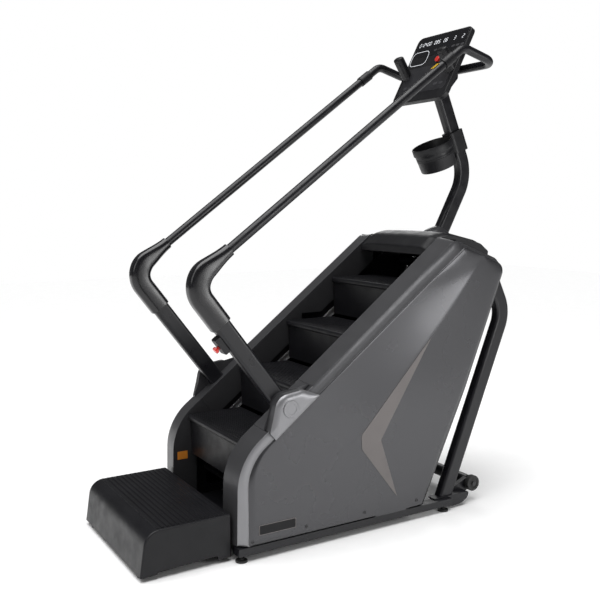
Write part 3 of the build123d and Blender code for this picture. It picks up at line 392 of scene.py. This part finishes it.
def side_cover(side):
    """Cover side: a bevel band, then a scooped front zone and a flatter rear zone that meet at a crease. The
    bevel below the hub at the front is silver as a painted highlight; the rest of the bevel is rim grey.
    """
    sign = SIDES[side]
    edge_line = cover_line(BEVEL_INSET, TOP_INSET, BEVEL_TURN)
    outer_line = cover_line(CREASE_INSET, 0.010)
    top_at, foot_at = v2(*CREASE_TOP), v2(*CREASE_FOOT)
    crease = [edge_line[nearest(edge_line, top_at)]] + [v2(*p) for p in STRIP] + [
        edge_line[nearest(edge_line, foot_at)]]
    crease = resample(crease, PANEL_COUNT)
    verts = []
    faces = {"panel_grey": [], "rim_grey": [], "silver_trim": []}
    zones = (("front", stretch(outer_line, foot_at, top_at)[::-1], stretch(edge_line, foot_at, top_at)[::-1]),
             ("rear", stretch(outer_line, top_at, foot_at), stretch(edge_line, top_at, foot_at)))
    for zone, outer, edge in zones:
        base = len(verts)
        for p in outer:
            x = FLANGE_X if zone == "rear" and p.y < FLANGE_TOP else CREASE_X - 0.001
            verts.append(Vector((sign * x, p.x, p.y)))
        verts += [Vector((sign * CREASE_X, p.x, p.y)) for p in outer]
        for r in range(PANEL_ROWS + 1):
            s = r / PANEL_ROWS
            for p, q in zip(edge, crease):
                at = p.lerp(q, s)
                verts.append(Vector((sign * (PANEL_X - cover_depth(zone, s, at.y)), at.x, at.y)))
        for face in grid_faces(PANEL_ROWS + 3, PANEL_COUNT, False):
            row = face[0] // PANEL_COUNT
            face = tuple(base + i for i in face)
            corner = verts[face[0]]
            # low: the front zone's bevel below the hub, which gets silver paint as a painted highlight
            low = zone == "front" and (Vector((corner.y, corner.z)) - Vector(HUB)).dot(RIM_DIR) < 0
            key = "panel_grey" if row > 1 else "silver_trim" if low else "rim_grey"
            faces[key].append(face)
    pieces = {"panel_grey": "side_cover", "rim_grey": "cover_band", "silver_trim": "cover_lip_painted_highlight"}
    for key, piece in pieces.items():
        skin = make(f"{piece}_{side}", *compact(verts, faces[key]), key, "frame", key, sharp=24)
        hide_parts(f"side_panel_{side}")
        thicken(skin, COVER_WALL)


for side in SIDES:
    side_cover(side)


# ---- hubs where the handrails meet the covers ----------------------------------------------------------
HUB_OUTLINE = [(180, -54), (180, -16), (234, 26), (298, 80), (404, 18), (447, -54)]
HUB_RADII = [0, 0.008, 0.04, 0.062, 0.050, 0]
HUB_INNER, HUB_TOP = 0.349, 0.4005
HUB_BEVEL_X, HUB_DROP = 0.3945, 0.0085      # x of the boss's edge, and its fall towards the slope's edge
LOBE_SCALES = (1.0, 0.985, 0.96, 0.92, 0.86, 0.78, 0.68, 0.56, 0.44, 0.3, 0.12)
BRIDGE = [(395, -52), (451.5, -52), (451.5, -11), (395, -11)]


def on_slope(s, n):
    """Point given along the slope and out from it, in millimetres."""
    return SLOPE_START + RIM_DIR * (s / 1000) + RIM_OUT * (n / 1000)


def hub_lobe(side):
    """Pillow-shaped boss round the handrail's pivot, running out onto the bevel at both ends."""
    sign, hub = SIDES[side], Vector(HUB)
    outline = rounded([on_slope(*p) for p in HUB_OUTLINE], HUB_RADII, steps=14)
    outline = resample(outline + outline[:1], 161)[:-1]
    rings = [[Vector((sign * HUB_INNER, p.x, p.y)) for p in outline]]
    for scale in LOBE_SCALES:
        ring = []
        for p in outline:
            rim_x = HUB_BEVEL_X - HUB_DROP * smoothstep(-0.052, -0.005, (p - SLOPE_START).dot(RIM_OUT))
            at = hub.lerp(p, scale)
            ring.append(Vector((sign * (HUB_TOP + (rim_x - HUB_TOP) * scale ** 7), at.x, at.y)))
        rings.append(ring)
    lobe = loft(f"hub_lobe_{side}", rings[1:], "silver_trim", "frame", "silver_trim", caps=False, sharp=50)
    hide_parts(f"hub_trim_{side}")
    wall = loft(f"hub_wall_{side}", rings[:2], "rim_grey", "frame", "rim_grey", caps=False, sharp=50)
    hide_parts(f"hub_trim_{side}")
    low, high = sorted((sign * HUB_INNER, sign * 0.3735))
    bridge = slab(f"hub_bridge_{side}", [on_slope(*p) for p in BRIDGE], low, high, "rim_grey", "frame",
                  "rim_grey", 0.002)
    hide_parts(f"hub_trim_{side}")


def hub_saddle(side):
    """Inner part of the hub, which wraps the handrail's foot."""
    source = NODES[f"hub_trim_{side}"]
    place = source.matrix_world
    verts = [place @ v.co for v in source.data.vertices]
    faces = [tuple(f.vertices) for f in source.data.polygons
             if all(abs(verts[i].x) < HUB_INNER + 0.001 for i in f.vertices)]
    saddle = make(f"hub_saddle_{side}", *compact(verts, faces), "rim_grey", "frame", "rim_grey")
    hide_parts(f"hub_trim_{side}")


for side in SIDES:
    hub_lobe(side)
    hub_saddle(side)


# ---- handrail elbow covers -----------------------------------------------------------------------------
ELBOW = v2(-163, 1142)
DOWN = unit(ELBOW, Vector(HUB))
UP = Vector((math.cos(math.radians(36.5)), math.sin(math.radians(36.5))))
ELBOW_R, REACH = 0.087, 0.212


def elbow_path(count):
    """Centre line of the elbow cover from its lower to its upper end, with the way it runs."""
    half = DOWN.angle(UP) / 2
    tangent = ELBOW_R / math.tan(half)
    centre = ELBOW + (DOWN + UP).normalized() * (ELBOW_R / math.sin(half))
    line = [ELBOW + DOWN * REACH]
    start, end = ELBOW + DOWN * tangent - centre, ELBOW + UP * tangent - centre
    sweep = start.angle_signed(end)
    for k in range(25):
        a = -sweep * k / 24
        line.append(centre + Vector((start.x * math.cos(a) - start.y * math.sin(a),
                                     start.x * math.sin(a) + start.y * math.cos(a))))
    line.append(ELBOW + UP * REACH)
    points = resample(line, count)
    ways = [unit(points[max(i - 1, 0)], points[min(i + 1, count - 1)]) for i in range(count)]
    return list(zip(points, ways))


def oval_ring(centre, way, x, half_x, half_n, power, count=48):
    """Super-ellipse square to the path."""
    side = Vector((-way.y, way.x))
    ring = []
    for k in range(count):
        a = 2 * math.pi * k / count
        c, s = math.cos(a), math.sin(a)
        u = math.copysign(abs(c) ** (2 / power), c) * half_x
        w = math.copysign(abs(s) ** (2 / power), s) * half_n
        p = centre + side * w
        ring.append(Vector((x + u, p.x, p.y)))
    return ring


def elbow_cover(side):
    """Moulded sleeve over the bend: flat oval below, round where the upper rail leaves it."""
    count, wall = 64, 0.004
    path = elbow_path(count)
    outer, inner = [], []
    for i, (point, way) in enumerate(path):
        t = i / (count - 1)
        grow = smoothstep(0.55, 1.0, t)
        half_x = 0.032 * (1 - grow) + 0.027 * grow
        half_n = 0.046 * (1 - grow) + 0.0272 * grow
        power = 3.6 * (1 - grow) + 2.1 * grow
        x = SIDES[side] * RAIL_X
        outer.append(oval_ring(point, way, x, half_x, half_n, power))
        inner.append(oval_ring(point, way, x, half_x - wall, half_n - wall, power))
    cover = loft(f"elbow_sleeve_{side}", outer + inner[::-1], "gloss_shell", "frame", "gloss_shell",
                 closed=True, sharp=50)
    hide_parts(f"elbow_cover_{side}")
    return cover


for side in SIDES:
    elbow_cover(side)


# ---- hood over the top of the stairs -------------------------------------------------------------------
HOOD_PROFILE = [(1058, 1208), (1060, 1246), (1114, 1299.5), (1200, 1317), (1400, 1271.5), (1451, 1222),
                (1443.5, 1182)]
HOOD_RADII = [0, 0.012, 0.06, 0.2, 0.06, 0.02, 0]
HOOD_ROWS, HOOD_COLUMNS = 90, 61


def hood():
    """Moulded hood: steep front face, straight ridge with chamfered ends, then a long fall to the rear."""
    low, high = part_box("hood")
    half = high.x
    line = resample(rounded([v2(*p) for p in HOOD_PROFILE], HOOD_RADII, steps=10), HOOD_ROWS)
    base, columns = low.z + 0.004, HOOD_COLUMNS
    verts = []
    for p in line:
        for j in range(columns):
            u = 2 * j / (columns - 1) - 1
            lift = smoothstep(base, base + 0.09, p.y)
            drop = lift * (0.013 * smoothstep(0.80, 1.0, abs(u)) + 0.004 * u * u)
            verts.append(Vector((half * u, p.x, p.y - drop)))
    faces = grid_faces(len(line), columns, False)
    faces += [tuple(i * columns + j for i in range(len(line))) for j in (0, columns - 1)]
    shell = make("hood_shell", verts, faces, "black_shell", "frame", "black_shell", sharp=60)
    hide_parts("hood")
    return thicken(shell, 0.004)


# y, z, lean from upright in degrees, half length and half width of each ring, from the hood up to the mast
BOOT_RINGS = [(1348, 1256, 14, 0.093, 0.062), (1350, 1277, 14, 0.091, 0.060), (1355, 1289, 17, 0.082, 0.055),
              (1365, 1301, 23, 0.064, 0.045), (1375, 1311, 28, 0.047, 0.034), (1377, 1315, 28, 0.0415, 0.0285),
              (1376, 1313, 28, 0.0382, 0.0258)]


def mast_boot():
    """Pale moulded foot where the mast comes out of the hood."""
    rings = []
    for y, z, lean, half_n, half_x in BOOT_RINGS:
        way = Vector((math.sin(math.radians(lean)), math.cos(math.radians(lean))))
        rings.append(oval_ring(v2(y, z), way, 0, half_x, half_n, 2.4, 64))
    boot = loft("mast_boot", rings, "rim_grey", "frame", "rim_grey", caps=False, sharp=50)
    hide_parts("mast_collar")
    return thicken(boot, 0.002)


hood()
mast_boot()


# ---- cup holder ----------------------------------------------------------------------------------------
MAST_KNEE, MAST_TOP = v2(1526.5, 1594.5), v2(1340.5, 2015)
MAST_UP = unit(MAST_KNEE, MAST_TOP)
MAST_FRONT = Vector((-MAST_UP.y, MAST_UP.x))
CUP_R, CUP_FOOT_R, CUP_DEPTH, CUP_BAND = 0.103, 0.090, 0.128, 0.036


def cup_holder():
    """Turned cup: rounded lip, deep plain band, then a tapering wall with two fine beads and a dished floor."""
    beside = MAST_KNEE + MAST_UP * ((1.803 - MAST_KNEE.y) / MAST_UP.y)
    rim = beside + MAST_FRONT * (0.0375 + 0.007 + CUP_R)
    section = [(CUP_R - 0.008, 0.004), (CUP_R - 0.006, 0.001), (CUP_R - 0.003, 0.0), (CUP_R - 0.001, 0.001),
               (CUP_R, 0.004), (CUP_R, CUP_BAND - 0.003), (CUP_R - 0.001, CUP_BAND - 0.001),
               (CUP_R - 0.004, CUP_BAND), (CUP_R - 0.0055, CUP_BAND + 0.004)]
    taper = (CUP_FOOT_R - (CUP_R - 0.0055)) / (CUP_DEPTH - CUP_BAND - 0.004)
    for bead in (0.058, 0.066):
        r = CUP_R - 0.0055 + taper * (bead - CUP_BAND)
        section += [(r, bead - 0.0015), (r + 0.0008, bead), (r, bead + 0.0015)]
    section += [(CUP_FOOT_R + 0.0005, CUP_DEPTH - 0.006), (CUP_FOOT_R - 0.002, CUP_DEPTH - 0.001),
                (CUP_FOOT_R - 0.006, CUP_DEPTH), (0.02, CUP_DEPTH), (0.02, CUP_DEPTH - 0.005),
                (CUP_FOOT_R - 0.009, CUP_DEPTH - 0.005), (CUP_FOOT_R - 0.005, CUP_DEPTH - 0.009)]
    axis, across, ahead = Vector((0, *MAST_UP)), Vector((1, 0, 0)), Vector((0, *MAST_FRONT))
    rings = []
    for r, deep in section:
        middle = Vector((0, *rim)) - axis * deep
        rings.append([middle + (across * math.cos(a) + ahead * math.sin(a)) * r
                      for a in (2 * math.pi * k / 72 for k in range(72))])
    cup = loft("cup", rings, "black_shell", "frame", "black_shell", closed=True, sharp=40)
    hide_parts("cup_holder")


cup_holder()


# ---- console -------------------------------------------------------------------------------------------
FACE_LOW, FACE_HIGH = v2(1194, 1948), v2(1376, 2295)
FACE_UP = unit(FACE_LOW, FACE_HIGH)
FACE_NORMAL = Vector((0, -FACE_UP.y, FACE_UP.x))


def face_point(u, v, proud=0.0):
    """Point on the console's face: u to the user's right, v up the face from its lower edge."""
    p = FACE_LOW + FACE_UP * v
    return Vector((u, p.x, p.y)) + FACE_NORMAL * proud


def face_plate(name, outline, low, high, material, edge=0.0):
    """Thin plate on the console's face with a (u, v) outline."""
    rings = [[face_point(u, v, d) for u, v in outline] for d in (low, high)]
    plate = loft(name, rings, material, "frame", "display")
    return soften(plate, edge) if edge else plate


def rounded_box(u, v, width, height, radius, steps=8):
    corners = [(u - width / 2, v - height / 2), (u + width / 2, v - height / 2),
               (u + width / 2, v + height / 2), (u - width / 2, v + height / 2)]
    return [tuple(p) for p in rounded([Vector(c) for c in corners], [radius] * 4, steps)]


SEGMENTS = {"0": "abcdef", "1": "bc", "2": "abged", "3": "abgcd", "4": "fgbc", "5": "afgcd", "6": "afgedc",
            "7": "abc", "8": "abcdefg", "9": "abcdfg"}


def digit(char, u, v, tall):
    """Segment outlines of one slanted seven-segment digit, as (u, v) quads."""
    wide, bar, slant = tall * 0.5, tall * 0.11, 0.12
    places = {"a": (0, 1, 1, 1), "b": (1, 1, 1, 0.5), "c": (1, 0.5, 1, 0), "d": (0, 0, 1, 0),
              "e": (0, 0.5, 0, 0), "f": (0, 1, 0, 0.5), "g": (0, 0.5, 1, 0.5)}
    quads = []
    for key in SEGMENTS[char]:
        x0, y0, x1, y1 = places[key]
        a, b = Vector((x0 * wide, y0 * tall)), Vector((x1 * wide, y1 * tall))
        way = unit(a, b)
        across = Vector((-way.y, way.x)) * bar / 2
        a, b = a + way * bar * 0.7, b - way * bar * 0.7
        quad = [a - across, b - across, b + across, a + across]
        quads.append([(u + p.x + slant * p.y, v + p.y) for p in quad])
    return quads


def readouts():
    """Lit digits along the top of the display."""
    verts, faces = [], []
    tall, step = 0.020, 0.0155
    for start, text in ((-0.166, "012400"), (-0.052, "085"), (0.018, "06"), (0.092, "3"), (0.152, "2")):
        for i, char in enumerate(text):
            for quad in digit(char, start + i * step, 0.330, tall):
                base = len(verts)
                verts += [face_point(u, v, d) for d in (0.0004, 0.0009) for u, v in quad]
                faces += [(base, base + 1, base + 2, base + 3), (base + 7, base + 6, base + 5, base + 4)]
                faces += [(base + k, base + (k + 1) % 4, base + 4 + (k + 1) % 4, base + 4 + k)
                          for k in range(4)]
    make("readout_digits", verts, faces, "digit_glow", "frame", "display", sharp=20)


def ring_plate(name, u, v, width, height, radius, line, material):
    """Raised outline of a rounded rectangle."""
    outer = rounded_box(u, v, width, height, radius)
    inner = rounded_box(u, v, width - 2 * line, height - 2 * line, max(radius - line, 0.001))
    rings = [[face_point(*p, d) for p in loop] for loop, d in
             ((outer, 0.0003), (outer, 0.0009), (inner, 0.0009), (inner, 0.0003))]
    return loft(name, rings, material, "frame", "display", closed=True, sharp=30)


def console():
    """Display graphics, membrane keys and the collar round the stop button."""
    readouts()
    ring_plate("display_outline", -0.123, 0.258, 0.128, 0.082, 0.028, 0.0022, "digit_glow")
    for i, u in enumerate((-0.02, 0.012, 0.110, 0.142, 0.174)):
        key = rounded_box(u, 0.292, 0.022, 0.013, 0.006)
        face_plate(f"key_upper_{i}", key, 0.0002, 0.0012, "key_grey", 0.0005)
    for i, u in enumerate((-0.135, -0.095, 0.095, 0.135)):
        key = rounded_box(u, 0.085, 0.026, 0.015, 0.007)
        face_plate(f"key_lower_{i}", key, 0.0002, 0.0014, "key_grey", 0.0005)
    ring_plate("stop_bezel", 0.041, 0.226, 0.040, 0.040, 0.0199, 0.0035, "key_grey")
    face_plate("lower_inlay", rounded_box(0, 0.125, 0.352, 0.150, 0.02), 0.0, 0.0008, "inlay", 0.0004)


console()


# ---- plain labels --------------------------------------------------------------------------------------
STICKER_T = 0.0006
RAIL_BEND = ELBOW + UP * 1.590
BADGE = [(94, 107), (263, 107), (263, 144), (94, 144)]


def labels():
    """Blank labels: inside the left cover, on both badge plates, and two together on the right handrail."""
    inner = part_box("lower_rim_left")[1].x
    slab("label_inner", [v2(17, 252), v2(68, 252), v2(68, 290), v2(17, 290)], inner, inner + STICKER_T,
         "label_orange", "frame", "strip_bronze")
    for side, sign in SIDES.items():
        face = 0.0013 * sign + sign * PANEL_X
        low, high = sorted((face, face + 0.0003 * sign))
        plate = rounded([v2(*p) for p in BADGE], [0.004] * 4, 6)
        slab(f"badge_{side}", plate, low, high, "badge", "frame", "display")
    above = Vector((-UP.y, UP.x))
    start = RAIL_BEND - UP * 0.055 + above * 0.0203
    end = start - UP * 0.045
    corners = [start, end, end + above * STICKER_T, start + above * STICKER_T]
    for name, half in (("label_rail", 0.009), ("label_tube", 0.010)):
        slab(name, corners, RAIL_X - half, RAIL_X + half, "label_yellow", "frame", "strip_bronze")


labels()


# ---- floor, camera, light ------------------------------------------------------------------------------
CAMERA_TURN, CAMERA_PITCH = math.radians(58.763), math.radians(6.821)
SENSOR, FOCAL_PIXELS, PICTURE_WIDTH = 36.0, 818.79, 600


def camera():
    azimuth, pitch = CAMERA_TURN, CAMERA_PITCH
    data = bpy.data.cameras.new("camera")
    data.sensor_width = SENSOR
    data.lens = FOCAL_PIXELS * SENSOR / PICTURE_WIDTH
    cam = bpy.data.objects.new("camera", data)
    bpy.context.scene.collection.objects.link(cam)
    cam.location = (3.2209, FRONT - 1.4252, 1.4545)
    ahead = Vector((-math.sin(azimuth) * math.cos(pitch), math.cos(azimuth) * math.cos(pitch),
                    -math.sin(pitch)))
    cam.rotation_mode = "QUATERNION"
    cam.rotation_quaternion = ahead.to_track_quat("-Z", "Y")
    bpy.context.scene.camera = cam


def floor():
    size = 12.0
    mesh = bpy.data.meshes.new("floor")
    square = [(-size, -size, 0), (size, -size, 0), (size, size, 0), (-size, size, 0)]
    mesh.from_pydata(square, [], [(0, 1, 2, 3)])
    plane = bpy.data.objects.new("floor", mesh)
    bpy.context.scene.collection.objects.link(plane)
    paint = finish("floor_paint", (0.93, 0.93, 0.93), 0.6, mottle=0.01, grain=0.02, grain_scale=60)
    mesh.materials.append(paint)


AMBIENT = 0.10                  # strength of the surroundings as the surfaces see them


def softbox(name, place, target, size, power):
    data = bpy.data.lights.new(name, "AREA")
    data.shape = "RECTANGLE"
    data.size, data.size_y = size
    data.energy = power
    lamp = bpy.data.objects.new(name, data)
    bpy.context.scene.collection.objects.link(lamp)
    lamp.location = place
    lamp.rotation_mode = "QUATERNION"
    lamp.rotation_quaternion = (Vector(target) - Vector(place)).to_track_quat("-Z", "Y")


def sun(name, azimuth, height, soft, strength):
    """Very soft directional light from a compass angle and a height above the floor, in degrees."""
    data = bpy.data.lights.new(name, "SUN")
    data.angle = math.radians(soft)
    data.energy = strength
    lamp = bpy.data.objects.new(name, data)
    bpy.context.scene.collection.objects.link(lamp)
    a, h = math.radians(azimuth), math.radians(height)
    lamp.rotation_mode = "QUATERNION"
    way = Vector((math.sin(a) * math.cos(h), -math.cos(a) * math.cos(h), math.sin(h)))
    lamp.rotation_quaternion = way.to_track_quat("Z", "Y")


def studio():
    """White surroundings for the eye, much dimmer ones for the surfaces, and large soft lamps."""
    scene = bpy.context.scene
    scene.view_settings.view_transform = "Standard"
    world = bpy.data.worlds.new("studio")
    scene.world = world
    world.use_nodes = True
    nodes, links = world.node_tree.nodes, world.node_tree.links
    background = nodes["Background"]
    background.inputs["Color"].default_value = (1, 1, 1, 1)
    path, level = nodes.new("ShaderNodeLightPath"), nodes.new("ShaderNodeMapRange")
    level.inputs["To Min"].default_value, level.inputs["To Max"].default_value = AMBIENT, 1.0
    links.new(path.outputs["Is Camera Ray"], level.inputs["Value"])
    links.new(level.outputs["Result"], background.inputs["Strength"])
    sun("overhead", 20, 78, 60, 3.5)
    softbox("side", (3.1, 1.5, 1.30), (0.4, 0.1, 0.75), (1.5, 1.2), 34)
    softbox("key", (1.2, -3.4, 2.6), (0, 0, 1.0), (1.6, 2.0), 20)
    softbox("back", (-3.0, 2.6, 2.6), (0, 0.3, 1.0), (1.6, 1.8), 22)


camera()
floor()
studio()
